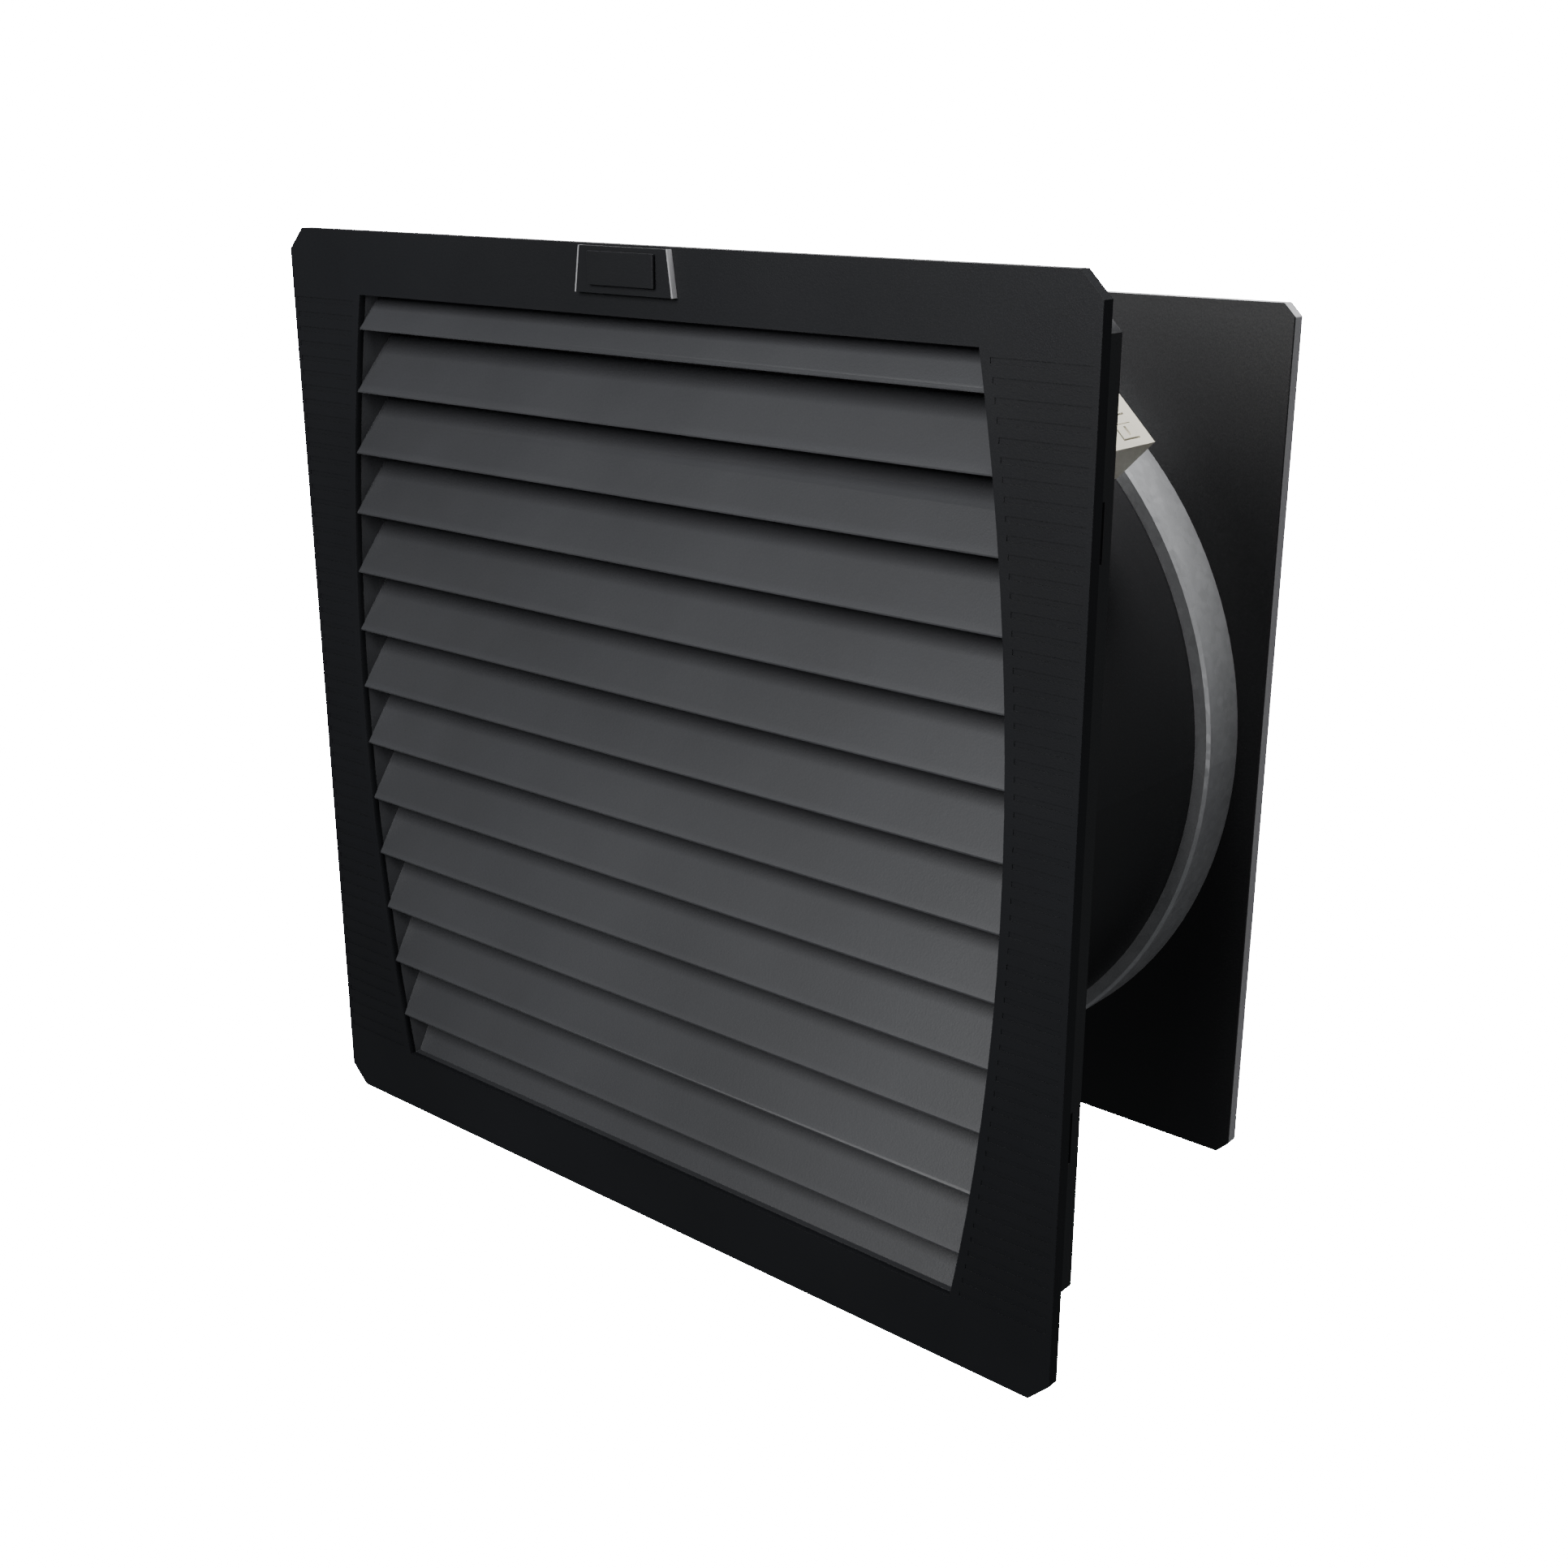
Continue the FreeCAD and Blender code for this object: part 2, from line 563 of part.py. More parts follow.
def rear_guard():
    """Welded wire guard: round wires on four diagonal stays, with a screw eye on each stay."""
    s = SIZE
    seat = s["plate_front"] + s["plate_thick"] + s["tray_wall"]
    depth = seat + s["guard_lift"]
    places = diagonals(SIZES["guard_reach"])
    rings = []
    for index in range(SIZES["guard_rings"]):
        ring = document.addObject("Part::Torus", f"guard_wire_{index}")
        bind(ring, "Radius1", s["guard_inner"] + s["guard_pitch"] * index)
        bind(ring, "Radius2", s["wire_radius"])
        place(ring, 0, depth, 0, "Y")
        rings.append(ring)
    span = (s["guard_inner"] - 6, s["guard_reach"] - 2)
    stays = [spun(f"guard_stay_{index}",
                  cylinder(f"guard_rod_{index}", 1.0, span, (depth - 0.2, 0), "X"), 45 + 90 * index)
             for index in range(4)]
    disc = cylinder("guard_disc", s["guard_inner"] + 1, (depth - 0.6, depth + 0.6), (0, 0))
    eyes = [tube(f"guard_eye_{index}", 4.2, 2.1, (seat + 0.1, seat + 2.1), place_at)
            for index, place_at in enumerate(places)]
    trim = [cylinder(f"guard_trim_{index}", 2.1, (seat - 4, seat + 6), place_at)
            for index, place_at in enumerate(places)]
    node("rear_guard", cut("rear_guard", fuse("guard_solid", disc, *rings, *stays, *eyes), *trim))
    screws = [fuse(f"guard_screw_{index}", cylinder(f"guard_shank_{index}", 2, (132.9, 136.45), place_at),
                   cylinder(f"guard_head_{index}", 3.4, (136.45, 137.6), place_at))
              for index, place_at in enumerate(places)]
    node("guard_screws", compound("guard_screws", *screws))
    rivets = [fuse(f"plate_rivet_{index}", cylinder(f"rivet_shank_{index}", 2, (132.1, 134.3), (x, z)),
                   cylinder(f"rivet_head_{index}", 3.2, (134.3, 135.5), (x, z)))
              for index, (x, z) in enumerate(diagonals(SIZES["corner_rivet_at"]))]
    node("plate_rivets", compound("plate_rivets", *rivets))


# ---------------------------------------------------------------- motor and impeller

def motor_bracket():
    s = SIZE
    low, high = s["spider_front"], s["spider_front"] + s["spider_thick"]
    reach = s["drum_radius"] - s["drum_wall"] - 0.35
    half = s["spider_arm"] / 2
    arms = [box("arm_rising", both(reach), (low, high), both(half)),
            box("arm_level", both(half), (low, high), both(reach))]
    feet = []
    for index, (x, z) in enumerate(((1, 0), (-1, 0), (0, 1), (0, -1))):
        near, far = reach - 2.2, reach
        span_x = (near, far) if x > 0 else (-far, -near) if x < 0 else both(half)
        span_z = (near, far) if z > 0 else (-far, -near) if z < 0 else both(half)
        feet.append(box(f"arm_foot_{index}", span_x, (low, low + 12), span_z))
    disc = cylinder("spider_plate", s["spider_disc"], (low, high), (0, 0))
    holes = [cylinder("foot_hole_rising", 2, both(reach + 1), (51, 0), "X"),
             cylinder("foot_hole_level", 2, both(reach + 1), (0, 51), "Z")]
    bolt_holes = [cylinder(f"motor_hole_{index}", 2, (40, 50), at)
                  for index, at in enumerate(((32, 0), (0, 32), (-32, 0), (0, -32)))]
    node("motor_bracket", cut("motor_bracket", fuse("spider_solid", disc, *arms, *feet),
                              *holes, *bolt_holes), turn=45)
    screws = [spun(f"bracket_screw_{index}", fuse(
        f"bracket_pair_{index}",
        cylinder(f"bracket_shank_{index}", 1.95, (reach - 2.2, 129.6), (51, 0), "X"),
        cylinder(f"bracket_head_{index}", 3.4, (129.6, 131.8), (51, 0), "X")), 45 + 90 * index)
        for index in range(4)]
    node("bracket_screws", compound("bracket_screws", *screws))
    bolts = [fuse(f"motor_screw_{index}", cylinder(f"motor_shank_{index}", 1.95, (45, 51), at),
                  cylinder(f"motor_head_{index}", 3.4, (42.8, 45), at))
             for index, at in enumerate(((32, 0), (0, 32), (-32, 0), (0, -32)))]
    node("motor_screws", compound("motor_screws", *bolts), turn=45)


def motor_stator():
    s = SIZE
    front = s["spider_front"] + s["spider_thick"]
    flange_rear = front + s["base_thick"]
    solid = fuse("base_solid", cylinder("base_flange", s["base_radius"], (front, flange_rear), (0, 0)),
                 cylinder("base_tube", s["tube_radius"], (flange_rear - 1, 107), (0, 0)))
    holes = [cylinder(f"base_hole_{index}", 1.97, (40, 55), at)
             for index, at in enumerate(diagonals(32))]
    node("motor_base", cut("motor_base", solid, cylinder("base_bore", s["bearing_radius"],
                                                         (front + 2, 110), (0, 0)), *holes))
    slots = [spun(f"stator_slot_{index}", box(f"stator_gap_{index}", (20, 31), (60, 98), both(1.6)),
                  30 * index) for index in range(12)]
    node("stator_core", cut("stator_core", tube("stator_ring", 33, s["tube_radius"], (62, 96)), *slots))
    node("stator_windings", compound("stator_windings", tube("winding_front", 31, 15, (55, 61.8)),
                                     tube("winding_rear", 31, 15, (96.2, 103))))
    for name, span in (("front", (52, 60)), ("rear", (98, 106))):
        node(f"{name}_bearing", tube(f"{name}_bearing", s["bearing_radius"],
                                     s["shaft_radius"] + s["shaft_fit"], span))


def rotor():
    s = SIZE
    outer, inner = s["cup_radius"], s["cup_radius"] - s["cup_wall"]
    front, rear = s["cup_front"], s["cup_rear"]
    node("rotor_cup", turned("rotor_cup_turning", [
        (s["shaft_radius"], rear - 4), (inner, rear - 4), (inner, front), (outer, front), (outer, rear - 3),
        (outer - 3, rear), (14, rear), (12, rear + 1.5), (s["shaft_radius"], rear + 1.5)]))
    node("rotor_ring", tube("rotor_ring", inner, 34, (62, 96)))
    node("motor_shaft", cylinder("motor_shaft", s["shaft_radius"], (50.3, 113.5), (0, 0)))
    hub = tube("impeller_hub", s["cup_radius"] + 2.5, s["cup_radius"], (68, 108))
    blades = [shaped(f"impeller_blade_{index}", blade(360.0 * index / SIZES["blade_count"]))
              for index in range(SIZES["blade_count"])]
    node("impeller", fuse("impeller", hub, *blades))


def blade(turn):
    """One swept, twisted blade, lofted through thin sections at four radii."""
    tip = SIZES["blade_tip"]
    root = SIZES["cup_radius"] - 2
    sections = []
    for index in range(4):
        share = index / 3
        radius = root + (tip - root) * share
        pitch = math.radians(SIZES["hub_pitch"] + (SIZES["tip_pitch"] - SIZES["hub_pitch"]) * share)
        chord = SIZES["hub_chord"] + (SIZES["tip_chord"] - SIZES["hub_chord"]) * share
        sweep = SIZES["tip_sweep"] * share ** 1.5
        sections.append(blade_section(radius, pitch, chord, sweep))
    solid = Part.makeLoft(sections, True, False)
    start, along = VECTOR(0, 50, 0), VECTOR(0, 1, 0)
    solid = solid.common(Part.makeCylinder(tip, 80, start, along))
    solid = solid.cut(Part.makeCylinder(SIZES["cup_radius"] + 0.6, 80, start, along))
    solid.rotate(VECTOR(0, 0, 0), VECTOR(0, 1, 0), turn)
    return solid


def blade_section(radius, pitch, chord, sweep):
    """A cambered strip in the plane square to the blade at one radius."""
    camber, half_thick = 0.07 * chord, SIZES["blade_thick"] / 2
    upper, lower = [], []
    for step in range(7):
        along = step / 6 - 0.5
        rise = camber * (1 - 4 * along * along)
        for side, points in ((half_thick, upper), (-half_thick, lower)):
            lift = rise + side * (1 - 0.55 * abs(2 * along))
            across = chord * along * math.cos(pitch) - lift * math.sin(pitch)
            depth = chord * along * math.sin(pitch) + lift * math.cos(pitch)
            points.append(VECTOR(across, SIZES["blade_middle"] + depth, radius))
    corners = upper + lower[::-1]
    section = Part.makePolygon(corners + corners[:1])
    section.rotate(VECTOR(0, 0, 0), VECTOR(0, 1, 0), sweep)
    return section


# ---------------------------------------------------------------- terminal block

def terminal():
    """Connection block on a pedestal, at 45 degrees on the drum; built upright and then turned."""
    s = SIZE
    turn = SIZES["terminal_angle"]
    half, inner, outer = s["terminal_half"], s["terminal_inner"], s["terminal_outer"]
    front, rear = s["terminal_front"], s["terminal_rear"]
    case = box("terminal_case", both(half), (front, rear), (inner, outer))
    edge = [box(f"terminal_step_{index}", span, (front - 1, front + 4), (outer - 4, outer + 1))
            for index, span in enumerate(((-half - 1, -half + 1.2), (half - 1.2, half + 1)))]
    centres = [s["button_pitch"] * step for step in (-1, 0, 1)]
    wells = [box(f"button_well_{index}", (centre - 2.9, centre + 2.9), (70, 79), (outer - 6, outer + 1))
             for index, centre in enumerate(centres)]
    entries = [cylinder(f"wire_entry_{index}", s["entry_radius"], (outer - 9, outer + 1),
                        (centre, front + 5), "Z") for index, centre in enumerate(centres)]
    contact_bays = [box(f"contact_bay_{index}", (centre - 2, centre + 2), (59, 76), (inner + 2, outer - 9))
                    for index, centre in enumerate(centres)]
    entry = s["lead_entry"]
    lead_bay = cylinder("lead_bay", 3.2, (inner - 1, inner + 2), (0, entry), "Z")
    node("terminal_body", cut("terminal_body", case, *edge, *wells, *entries, *contact_bays, lead_bay), turn)
    contacts = [box(f"contact_{index}", (centre - 1.7, centre + 1.7), (59.5, 69.5), (inner + 2, inner + 3.2))
                for index, centre in enumerate(centres)]
    node("terminal_contacts", compound("terminal_contacts", *contacts), turn)
    for index, (name, centre) in enumerate(zip(("left", "middle", "right"), centres)):
        button = box(f"button_{name}", (centre - 2.5, centre + 2.5), (70.4, 78.6), (outer - 3.9, outer + 0.3))
        groove = box(f"button_groove_{index}", (centre - 1.6, centre + 1.6), (74.0, 75.0),
                     (outer - 0.3, outer + 1))
        node(f"release_button_{name}", cut(f"release_button_{name}", button, groove), turn)
    pedestal = box("pedestal_block", both(half - 2), (front + 2, rear - 2), (122, inner))
    hug = cylinder("pedestal_hug", s["drum_radius"], (50, 90), (0, 0))
    lead_way = cylinder("pedestal_way", 4.5, (120, 150), (0, entry), "Z")
    node("terminal_pedestal", cut("terminal_pedestal", pedestal, hug, lead_way), turn)
    node("lead_grommet", tube("grommet_ring", 4.4, s["lead_radius"] + 0.1, (126, 132), (0, entry), "Z"), turn)


def motor_lead():
    """The lead from the terminal block to the motor, laid along the upper right bracket arm."""
    route = [(146.6, 66), (116, 66), (85.6, 60), (62, 52.2), (40.05, 50.7)]
    points = [VECTOR(0, depth, radius) for radius, depth in route]
    edges, start = [], points[0]
    radii = []
    for before, corner, after in zip(points, points[1:], points[2:]):
        into, away = (corner - before), (after - corner)
        shorter = min(into.Length, away.Length)
        turn = into.getAngle(away)
        trim = 0.45 * shorter
        radii.append(trim / math.tan(turn / 2))
        first = corner - into.normalize() * trim
        last = corner + away.normalize() * trim
        bisector = (first - corner).normalize() + (last - corner).normalize()
        middle = corner + bisector.normalize() * (radii[-1] / math.cos(turn / 2) - radii[-1])
        edges.append(Part.makeLine(start, first))
        edges.append(Part.Arc(first, middle, last).toShape())
        start = last
    edges.append(Part.makeLine(start, points[-1]))
    spine = Part.Wire(edges)
    ring = Part.Wire([Part.makeCircle(SIZES["lead_radius"], points[0], points[1] - points[0])])
    lead = spine.makePipeShell([ring], True, False)
    print("motor lead: length", round(spine.Length, 1), "arc radii", [round(r, 1) for r in radii],
          "volume ratio", round(lead.Volume / (math.pi * SIZES["lead_radius"] ** 2 * spine.Length), 4))
    node("motor_lead", shaped("motor_lead", lead), turn=SIZES["terminal_angle"])


def check_and_export():
    document.recompute()
    os.makedirs("parts", exist_ok=True)
    faults = [item.Label for item in document.Objects if {"Invalid", "Error"} & set(item.State)]
    if faults:
        raise RuntimeError(f"objects failed: {faults}")
    for item in NODES:
        if item.Shape.isNull() or not item.Shape.isValid() or not item.Shape.Solids:
            raise RuntimeError(f"bad shape: {item.Label}")
        item.Shape.exportStep(f"parts/{item.Label}.step")
        print(item.Label, len(item.Shape.Solids), round(item.Shape.Volume))
    print(len(NODES), "nodes")


front_cover()
louvre_insert()
latch()
hinge_pins()
mounting_frame()
flange_gasket()
snap_clips()
filter_parts()
duct_drum()
duct_ring()
fan_wall_plate()
rear_frame()
rear_guard()
motor_bracket()
motor_stator()
rotor()
terminal()
motor_lead()
check_and_export()
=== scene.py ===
"""Looks of the filter fan unit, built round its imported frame. Metres, in the frame's own axes."""
import json
import math

import bmesh
import bpy
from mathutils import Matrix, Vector, noise

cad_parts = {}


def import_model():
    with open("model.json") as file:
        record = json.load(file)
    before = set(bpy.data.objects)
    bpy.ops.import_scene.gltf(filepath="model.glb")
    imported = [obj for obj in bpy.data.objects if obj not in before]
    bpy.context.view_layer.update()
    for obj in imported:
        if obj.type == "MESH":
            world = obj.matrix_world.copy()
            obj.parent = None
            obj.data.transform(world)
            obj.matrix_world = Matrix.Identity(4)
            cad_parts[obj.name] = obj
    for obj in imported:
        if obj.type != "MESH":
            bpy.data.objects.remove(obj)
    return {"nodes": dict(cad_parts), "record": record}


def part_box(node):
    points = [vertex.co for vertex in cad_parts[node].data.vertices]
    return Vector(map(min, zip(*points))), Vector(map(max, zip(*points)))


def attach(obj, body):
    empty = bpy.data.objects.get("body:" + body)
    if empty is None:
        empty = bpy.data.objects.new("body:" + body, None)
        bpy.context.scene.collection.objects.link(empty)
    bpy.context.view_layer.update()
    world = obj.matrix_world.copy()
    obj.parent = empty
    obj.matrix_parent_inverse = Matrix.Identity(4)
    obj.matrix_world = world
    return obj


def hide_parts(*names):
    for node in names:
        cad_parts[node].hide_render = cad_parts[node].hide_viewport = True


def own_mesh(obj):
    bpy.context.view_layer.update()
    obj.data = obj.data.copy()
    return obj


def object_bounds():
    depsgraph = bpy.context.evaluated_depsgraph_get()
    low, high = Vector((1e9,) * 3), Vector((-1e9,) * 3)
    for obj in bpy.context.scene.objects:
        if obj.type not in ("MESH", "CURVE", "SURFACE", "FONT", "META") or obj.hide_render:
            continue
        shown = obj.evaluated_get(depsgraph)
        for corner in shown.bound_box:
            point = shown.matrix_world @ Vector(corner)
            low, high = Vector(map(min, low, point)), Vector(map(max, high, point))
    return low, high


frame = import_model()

CAD_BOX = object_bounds()
NODES = frame["nodes"]
MM = 0.001
BACKDROP = 40.0  # brightness of the white that only the camera sees
ROOM = 0.1  # brightness of the room that lights the object


# ---------------------------------------------------------------- materials

class Shader:
    """A node material with helpers for the few patterns that the parts share."""

    def __init__(self, name, roughness, metallic=0.0, **sockets):
        self.material = bpy.data.materials.new(name)
        self.material.use_nodes = True
        self.tree = self.material.node_tree
        self.out = self.tree.nodes["Principled BSDF"]
        self.out.inputs["Metallic"].default_value = metallic
        self.out.inputs["Roughness"].default_value = roughness
        for socket, value in sockets.items():
            self.out.inputs[socket.replace("_", " ")].default_value = value
        self.place = self.add("ShaderNodeTexCoord").outputs["Object"]
        self.height = None

    def add(self, kind, **settings):
        item = self.tree.nodes.new(kind)
        for key, value in settings.items():
            setattr(item, key, value)
        return item

    def link(self, output, target):
        self.tree.links.new(output, target)

    def stretched(self, scale):
        mapping = self.add("ShaderNodeMapping")
        mapping.inputs["Scale"].default_value = scale
        self.link(self.place, mapping.inputs["Vector"])
        return mapping.outputs["Vector"]

    def noise(self, scale, detail=4.0, rough=0.55, stretch=(1, 1, 1)):
        item = self.add("ShaderNodeTexNoise")
        item.inputs["Scale"].default_value = scale
        item.inputs["Detail"].default_value = detail
        item.inputs["Roughness"].default_value = rough
        self.link(self.stretched(stretch), item.inputs["Vector"])
        return item.outputs["Fac"]

    def cells(self, scale, feature="F1", stretch=(1, 1, 1)):
        item = self.add("ShaderNodeTexVoronoi", feature=feature)
        item.inputs["Scale"].default_value = scale
        self.link(self.stretched(stretch), item.inputs["Vector"])
        return item.outputs

    def bands(self, scale, axis="Y", distortion=0.0):
        item = self.add("ShaderNodeTexWave", bands_direction=axis)
        item.inputs["Scale"].default_value = scale
        item.inputs["Distortion"].default_value = distortion
        self.link(self.place, item.inputs["Vector"])
        return item.outputs["Fac"]

    def colours(self, source, dark, light, low=0.35, high=0.65):
        ramp = self.add("ShaderNodeValToRGB")
        ramp.color_ramp.elements[0].position = low
        ramp.color_ramp.elements[0].color = (*dark, 1)
        ramp.color_ramp.elements[1].position = high
        ramp.color_ramp.elements[1].color = (*light, 1)
        self.link(source, ramp.inputs["Fac"])
        return ramp.outputs["Color"]

    def base(self, colour):
        self.link(colour, self.out.inputs["Base Color"])

    def vary_roughness(self, source, low, high):
        span = self.add("ShaderNodeMapRange")
        span.inputs["To Min"].default_value = low
        span.inputs["To Max"].default_value = high
        self.link(source, span.inputs["Value"])
        self.link(span.outputs["Result"], self.out.inputs["Roughness"])

    def bump(self, source, depth, strength=0.6):
        item = self.add("ShaderNodeBump")
        item.inputs["Distance"].default_value = depth
        item.inputs["Strength"].default_value = strength
        self.link(source, item.inputs["Height"])
        if self.height is not None:
            self.link(self.height, item.inputs["Normal"])
        self.height = item.outputs["Normal"]
        self.link(self.height, self.out.inputs["Normal"])


def scaled(colour, factor):
    return tuple(min(1.0, channel * factor) for channel in colour)


def moulded(name, colour, roughness, grain=2600, depth=0.00006, specular=0.5):
    """Injection-moulded plastic: spark-eroded grain, faint flow marks and handling smudges."""
    shader = Shader(name, roughness, Specular_IOR_Level=specular)
    shader.base(shader.colours(shader.noise(9, 5), scaled(colour, 0.86), scaled(colour, 1.12)))
    shader.vary_roughness(shader.noise(22, 6), roughness - 0.06, roughness + 0.08)
    shader.bump(shader.cells(grain)["Distance"], depth, 0.35)
    shader.bump(shader.noise(grain * 0.35, 3), depth, 0.3)
    return shader.material


def powder_coat(name, colour, roughness):
    """Powder-coated sheet: fine orange peel and dust."""
    shader = Shader(name, roughness, Specular_IOR_Level=0.45)
    shader.base(shader.colours(shader.noise(14, 6), scaled(colour, 0.94), scaled(colour, 1.06)))
    shader.vary_roughness(shader.noise(35, 5), roughness - 0.05, roughness + 0.06)
    shader.bump(shader.noise(1100, 2), 0.00009, 0.4)
    return shader.material


def galvanised(name, colour, roughness):
    """Zinc-coated sheet: angular spangle, fine rolling lines and dull patches."""
    shader = Shader(name, roughness, 0.35)
    spangle = shader.cells(420)["Color"]
    single = shader.add("ShaderNodeSeparateColor")
    shader.link(spangle, single.inputs["Color"])
    shader.base(shader.colours(single.outputs["Red"], scaled(colour, 0.95), scaled(colour, 1.05), 0.1, 0.9))
    shader.vary_roughness(single.outputs["Green"], roughness - 0.08, roughness + 0.1)
    shader.bump(shader.noise(900, 3, stretch=(1, 8, 1)), 0.00003, 0.3)
    return shader.material


def drawn_metal(name, colour, roughness, stretch=(1, 1, 12)):
    """Drawn or turned metal with fine lines and light tarnish."""
    shader = Shader(name, roughness, 1.0)
    shader.base(shader.colours(shader.noise(120, 6), scaled(colour, 0.8), scaled(colour, 1.12)))
    shader.vary_roughness(shader.noise(400, 4, stretch=stretch), roughness - 0.08, roughness + 0.12)
    shader.bump(shader.noise(2200, 2, stretch=stretch), 0.00002, 0.35)
    return shader.material


def laminated(name, colour):
    """Stacked electrical sheet: half-millimetre layers under clear varnish."""
    shader = Shader(name, 0.38, 0.8, Coat_Weight=0.3)
    layers = shader.bands(320, "Y")
    shader.base(shader.colours(layers, scaled(colour, 0.55), scaled(colour, 1.2), 0.2, 0.7))
    shader.bump(layers, 0.00012, 0.6)
    return shader.material


def wound(name, colour):
    """Lacquered copper wire, wound in close turns."""
    shader = Shader(name, 0.28, 0.9, Coat_Weight=0.5)
    turns = shader.bands(900, "Y", 3.0)
    shader.base(shader.colours(turns, scaled(colour, 0.5), scaled(colour, 1.15), 0.2, 0.7))
    shader.bump(turns, 0.0002, 0.7)
    return shader.material


def soft_rubber(name, colour, roughness, pores):
    """Foam or rubber: open pores over a dull skin."""
    shader = Shader(name, roughness, Specular_IOR_Level=0.25)
    shader.base(shader.colours(shader.noise(60, 5), scaled(colour, 0.75), scaled(colour, 1.3)))
    shader.bump(shader.cells(pores)["Distance"], 0.0003, 0.6)
    shader.vary_roughness(shader.noise(90, 3), roughness - 0.05, roughness + 0.08)
    return shader.material


def fleece(name, colour):
    """Needled filter fleece: matted fibres, soft lumps and a little caught dust."""
    shader = Shader(name, 0.95, Sheen_Weight=0.35, Sheen_Roughness=0.5, Specular_IOR_Level=0.1)
    shader.base(shader.colours(shader.noise(45, 9, 0.7), scaled(colour, 0.7), scaled(colour, 1.1)))
    shader.bump(shader.noise(260, 8, 0.75), 0.0012, 0.7)
    shader.bump(shader.noise(700, 6, 0.8, stretch=(5, 1, 1)), 0.0005, 0.6)
    shader.bump(shader.noise(700, 6, 0.8, stretch=(1, 1, 5)), 0.0005, 0.6)
    return shader.material


MATERIALS = {
    # The louvre black is several times lighter than the cover black, so the blades look lit and the bezel
    # dark: painted light and shade.
    "cover_black": moulded("cover_black", (0.006, 0.0064, 0.0078), 0.5, specular=0.26),
    "louvre_black": moulded("louvre_black", (0.030, 0.031, 0.034), 0.5, grain=1800, specular=0.35),
    "frame_black": moulded("frame_black", (0.012, 0.0125, 0.014), 0.55),
    # The light grey of the latch's side strips stands in for the lit side wall of the latch block: painted
    # light.
    "strip_grey": moulded("strip_grey", (0.28, 0.28, 0.29), 0.5, grain=2400),
    "button_ivory": moulded("button_ivory", (0.78, 0.74, 0.62), 0.42, grain=3200),
    "foam_black": soft_rubber("foam_black", (0.02, 0.02, 0.022), 0.85, 1500),
    "spring_steel": drawn_metal("spring_steel", (0.55, 0.55, 0.56), 0.28),
    # The fleece is mid grey, darker than white filter fleece, so the gaps between the louvres stay dark:
    # painted shade.
    "filter_fleece": fleece("filter_fleece", (0.42, 0.43, 0.43)),
    "duct_black": powder_coat("duct_black", (0.0095, 0.0095, 0.0105), 0.5),
    "galvanised": galvanised("galvanised", (0.36, 0.365, 0.375), 0.45),
    "rim_grey": powder_coat("rim_grey", (0.4, 0.4, 0.41), 0.45),
    "guard_wire": drawn_metal("guard_wire", (0.58, 0.58, 0.6), 0.3, (6, 6, 6)),
    "motor_cast": powder_coat("motor_cast", (0.3, 0.31, 0.32), 0.5),
    "rotor_black": powder_coat("rotor_black", (0.014, 0.014, 0.016), 0.4),
    "lamination": laminated("lamination", (0.22, 0.22, 0.24)),
    "copper": wound("copper", (0.62, 0.25, 0.09)),
    "bearing_steel": drawn_metal("bearing_steel", (0.6, 0.6, 0.61), 0.18),
    "blade_black": moulded("blade_black", (0.016, 0.016, 0.018), 0.36, grain=1400),
    "contact_brass": drawn_metal("contact_brass", (0.72, 0.52, 0.22), 0.3),
    "grommet_rubber": soft_rubber("grommet_rubber", (0.015, 0.015, 0.016), 0.7, 3000),
    "lead_sheath": soft_rubber("lead_sheath", (0.02, 0.02, 0.021), 0.5, 2500),
    "screw_steel": drawn_metal("screw_steel", (0.5, 0.5, 0.52), 0.26, (3, 3, 3)),
}


EDGE_ROUNDS = {
    "front_cover": 0.35, "louvre_insert": 0.3, "mounting_frame": 0.35, "latch_slider": 0.2,
    "terminal_body": 0.35, "terminal_pedestal": 0.5, "release_button_left": 0.25,
    "release_button_middle": 0.25, "release_button_right": 0.25, "rear_frame": 0.3,
    "guard_screws": 0.6, "drum_screws": 0.8, "bracket_screws": 0.8, "motor_screws": 0.8,
    "plate_rivets": 0.6,
}


def dress_frame():
    """Each CAD node takes its slot's material, and the crisp mouldings get a small edge round."""
    for part in frame["record"]["subparts"]:
        item = NODES[part["node"]]
        material = MATERIALS[part["material_slot"]]
        if not item.material_slots:
            item.data.materials.append(material)
        for used in item.material_slots:
            used.material = material
    for name, width in EDGE_ROUNDS.items():
        soften(NODES[name], width * MM)


def soften(item, width):
    """Round the sharp edges of a CAD node a little, with a modifier that leaves its mesh alone."""
    weld = item.modifiers.new("weld", "WELD")
    weld.merge_threshold = 1e-6
    bevel = item.modifiers.new("edge_round", "BEVEL")
    bevel.width = width
    bevel.segments = 2
    bevel.limit_method = "ANGLE"
    bevel.angle_limit = math.radians(40)
    bevel.harden_normals = True


# ---------------------------------------------------------------- mesh helpers

def piece_from(name, mesh_builder, slot):
    """A new piece in its slot's material, from a function that fills an empty mesh."""
    mesh = bmesh.new()
    mesh_builder(mesh)
    data = bpy.data.meshes.new(name)
    bmesh.ops.recalc_face_normals(mesh, faces=mesh.faces)
    mesh.to_mesh(data)
    mesh.free()
    item = bpy.data.objects.new(name, data)
    bpy.context.scene.collection.objects.link(item)
    data.materials.append(MATERIALS[slot])
    return item


def applied(item):
    """The item's mesh with its modifiers applied, and the modifiers gone."""
    graph = bpy.context.evaluated_depsgraph_get()
    data = bpy.data.meshes.new_from_object(item.evaluated_get(graph))
    item.modifiers.clear()
    item.data = data
    return item


# ---------------------------------------------------------------- filter mat

MAT_INSET = 2.2 * MM
MAT_SEGMENT = 5 * MM
MAT_SWELL = 3.0 * MM
MAT_RIPPLE = 0.45 * MM
MAT_GAP = 0.2 * MM


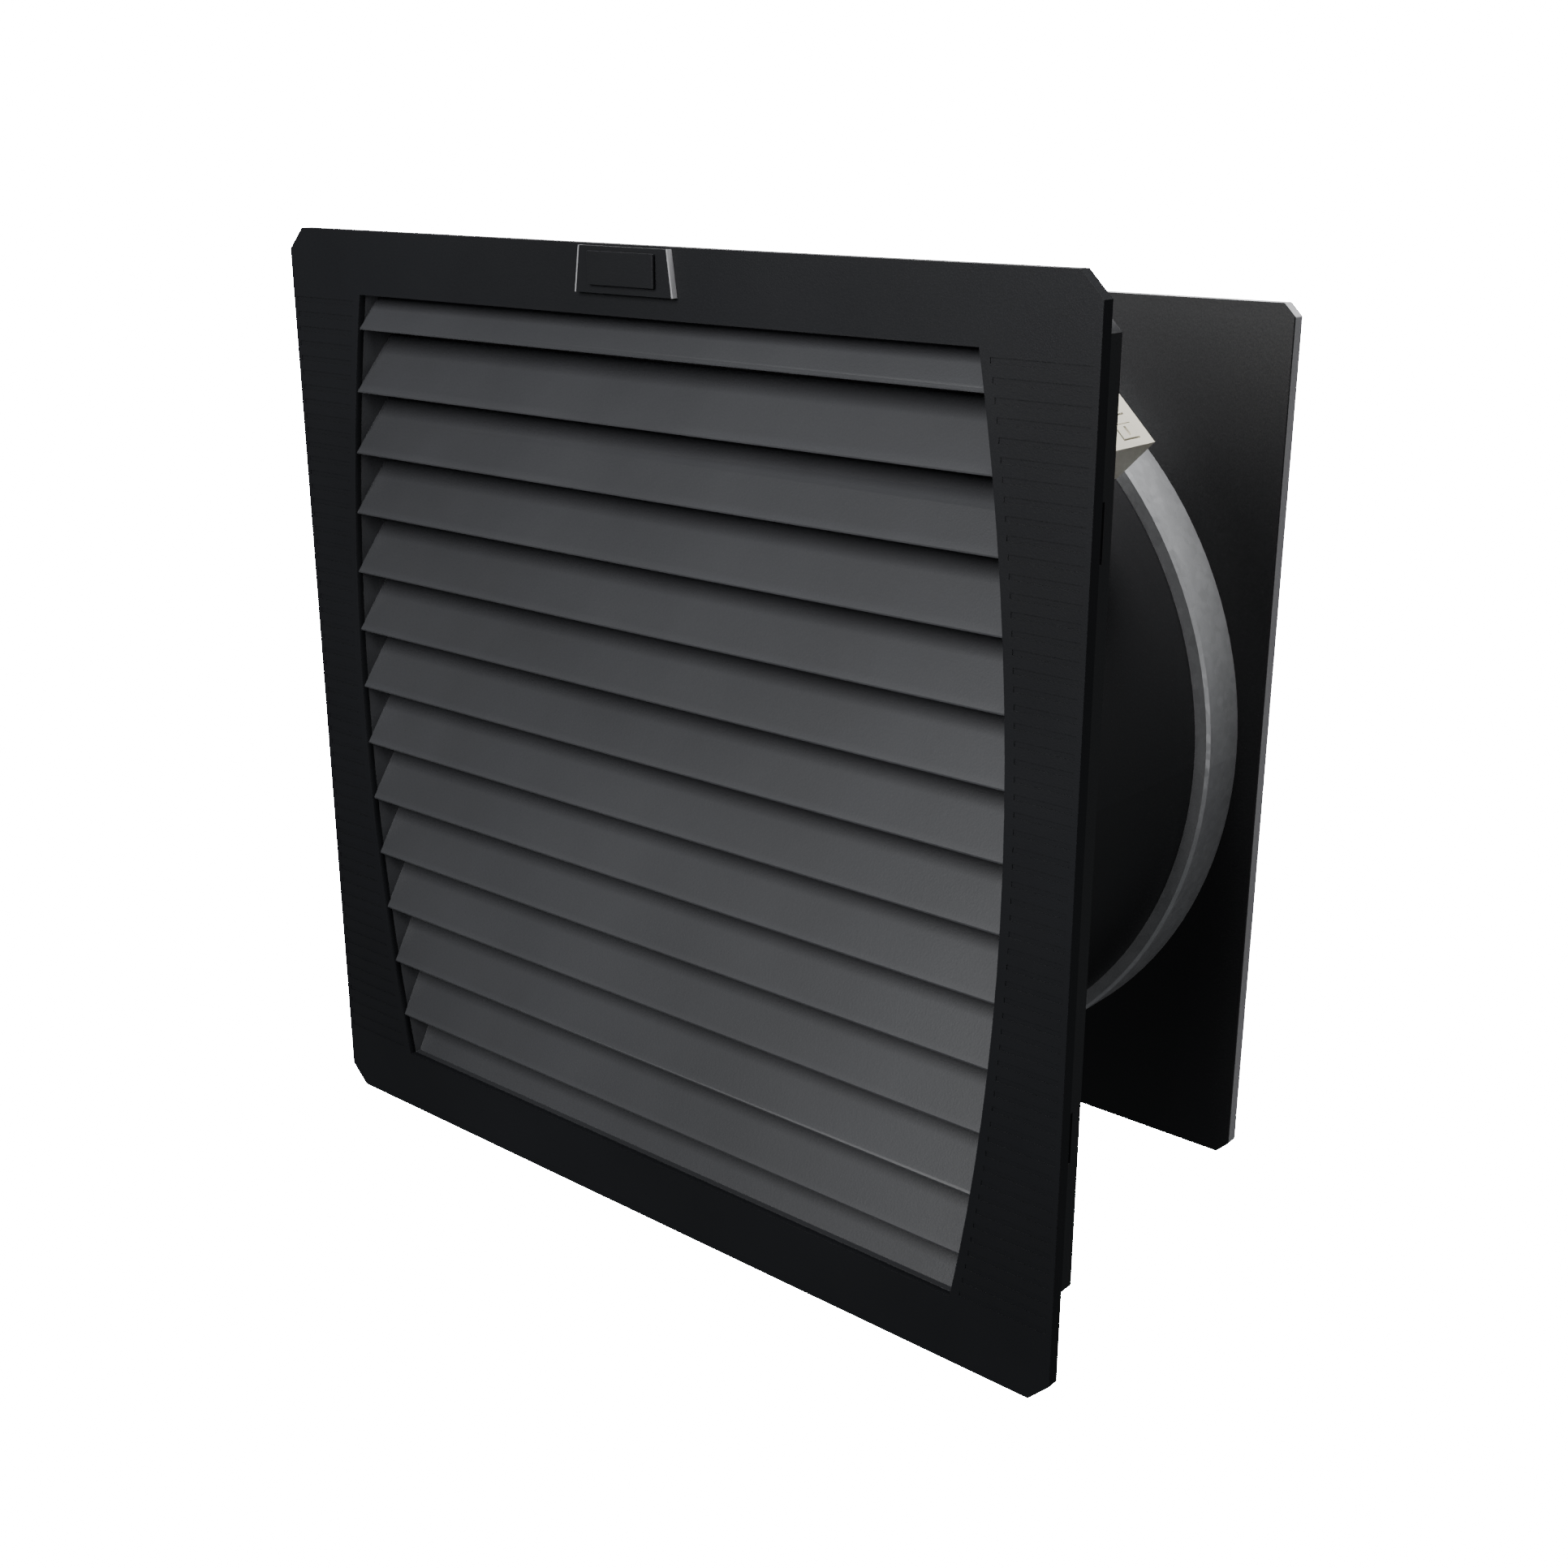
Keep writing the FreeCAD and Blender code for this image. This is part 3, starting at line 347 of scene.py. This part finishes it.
def filter_mat():
    """A fleece pad: swollen by cloth pressure, uneven on its faces and kept inside its CAD box."""
    lower, upper = [Vector(corner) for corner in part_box("filter_mat")]
    low, high = lower + Vector((MAT_INSET,) * 3), upper - Vector((MAT_INSET,) * 3)
    size = high - low

    def build(mesh):
        bmesh.ops.create_cube(mesh, size=1)
        for vertex in mesh.verts:
            vertex.co = low + Vector([(part + 0.5) * span for part, span in zip(vertex.co, size)])

    item = piece_from("filter_mat_fleece", build, "filter_fleece")
    remesh = item.modifiers.new("remesh", "REMESH")
    remesh.mode = "VOXEL"
    remesh.voxel_size = MAT_SEGMENT
    applied(item)
    inflate(item)
    for vertex in item.data.vertices:
        point = vertex.co
        point.y += MAT_RIPPLE * (noise.noise(point * 38) + 0.5 * noise.noise(point * 120))
        for axis in range(3):
            point[axis] = min(max(point[axis], lower[axis] + MAT_GAP), upper[axis] - MAT_GAP)
    smooth = item.modifiers.new("smooth", "SUBSURF")
    smooth.levels = smooth.render_levels = 1
    applied(item)
    for face in item.data.polygons:
        face.use_smooth = True
    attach(item, "frame")
    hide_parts("filter_mat")


def inflate(item):
    """Swell the pad by cloth pressure and cap how far each point may move."""
    start = [vertex.co.copy() for vertex in item.data.vertices]
    cloth = item.modifiers.new("cloth", "CLOTH")
    cloth.settings.use_pressure = True
    cloth.settings.uniform_pressure_force = 4
    cloth.settings.effector_weights.gravity = 0
    cloth.settings.quality = 6
    scene = bpy.context.scene
    for step in range(1, 16):
        scene.frame_set(step)
    applied(item)
    scene.frame_set(1)
    for vertex, origin in zip(item.data.vertices, start):
        shift = vertex.co - origin
        if shift.length > MAT_SWELL:
            vertex.co = origin + shift.normalized() * MAT_SWELL


# ---------------------------------------------------------------- latch springs


def latch_springs():
    """The pair of springs under the latch, copied from its CAD node and carried with the cover."""
    source = NODES["latch_springs"]
    item = bpy.data.objects.new("latch_spring_pair", source.data.copy())
    item.data.transform(source.matrix_world)
    bpy.context.scene.collection.objects.link(item)
    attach(item, "cover")
    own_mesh(item)
    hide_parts("latch_springs")


# ---------------------------------------------------------------- room

def area_light(name, place, aim, size, power, colour=(1, 1, 1)):
    light = bpy.data.lights.new(name, "AREA")
    light.energy = power
    light.size = size
    light.color = colour
    item = bpy.data.objects.new(name, light)
    item.location = place
    item.rotation_euler = (Vector(aim) - Vector(place)).to_track_quat("-Z", "Y").to_euler()
    bpy.context.scene.collection.objects.link(item)


def world():
    """White for the camera alone; the object sees a dim, slightly blue room."""
    data = bpy.data.worlds.new("studio")
    bpy.context.scene.world = data
    data.use_nodes = True
    tree = data.node_tree
    backdrop = tree.nodes["Background"]
    backdrop.inputs["Color"].default_value = (1, 1, 1, 1)
    backdrop.inputs["Strength"].default_value = BACKDROP
    dim = tree.nodes.new("ShaderNodeBackground")
    dim.inputs["Color"].default_value = (0.92, 0.96, 1, 1)
    dim.inputs["Strength"].default_value = ROOM
    mix = tree.nodes.new("ShaderNodeMixShader")
    path = tree.nodes.new("ShaderNodeLightPath")
    tree.links.new(path.outputs["Is Camera Ray"], mix.inputs["Fac"])
    tree.links.new(dim.outputs["Background"], mix.inputs[1])
    tree.links.new(backdrop.outputs["Background"], mix.inputs[2])
    tree.links.new(mix.outputs["Shader"], tree.nodes["World Output"].inputs["Surface"])


def lights():
    area_light("key_front", (0.05, -0.72, 0.52), (0, 0, 0.14), 0.5, 12.5)
    area_light("low_right", (0.8, -0.35, -0.12), (0.13, 0.12, -0.03), 0.4, 1.5)
    area_light("overhead", (0.11, 0.1, 0.9), (0.1, 0.1, 0), 0.35, 16)
    area_light("rear_fill", (-0.7, 1.1, 0.5), (0, 0.1, 0), 0.9, 8)


def floor_sheet():
    """The white paper that the unit stands on; it lights nothing."""
    mesh = bmesh.new()
    bmesh.ops.create_grid(mesh, x_segments=4, y_segments=4, size=12)
    data = bpy.data.meshes.new("floor")
    mesh.to_mesh(data)
    mesh.free()
    floor = bpy.data.objects.new("floor", data)
    floor.location = (0, 0, CAD_BOX[0][2] - 0.5 * MM)
    floor.visible_diffuse = False
    floor.visible_glossy = False
    bpy.context.scene.collection.objects.link(floor)
    shader = Shader("floor_paper", 0.9, Emission_Color=(1, 1, 1, 1), Emission_Strength=BACKDROP,
                    Specular_IOR_Level=0.0)
    shader.base(shader.colours(shader.noise(3, 4), (0.5, 0.5, 0.5), (0.55, 0.55, 0.55)))
    data.materials.append(shader.material)


def camera():
    data = bpy.data.cameras.new("camera")
    data.lens = 44.92
    data.sensor_width = 36
    item = bpy.data.objects.new("camera", data)
    item.location = (0.4123, -0.4205, 0.1927)
    item.rotation_euler = Vector((-0.6134, 0.7224, -0.3193)).to_track_quat("-Z", "Y").to_euler()
    bpy.context.scene.collection.objects.link(item)
    bpy.context.scene.camera = item


camera()
world()
lights()
floor_sheet()
dress_frame()
filter_mat()
latch_springs()
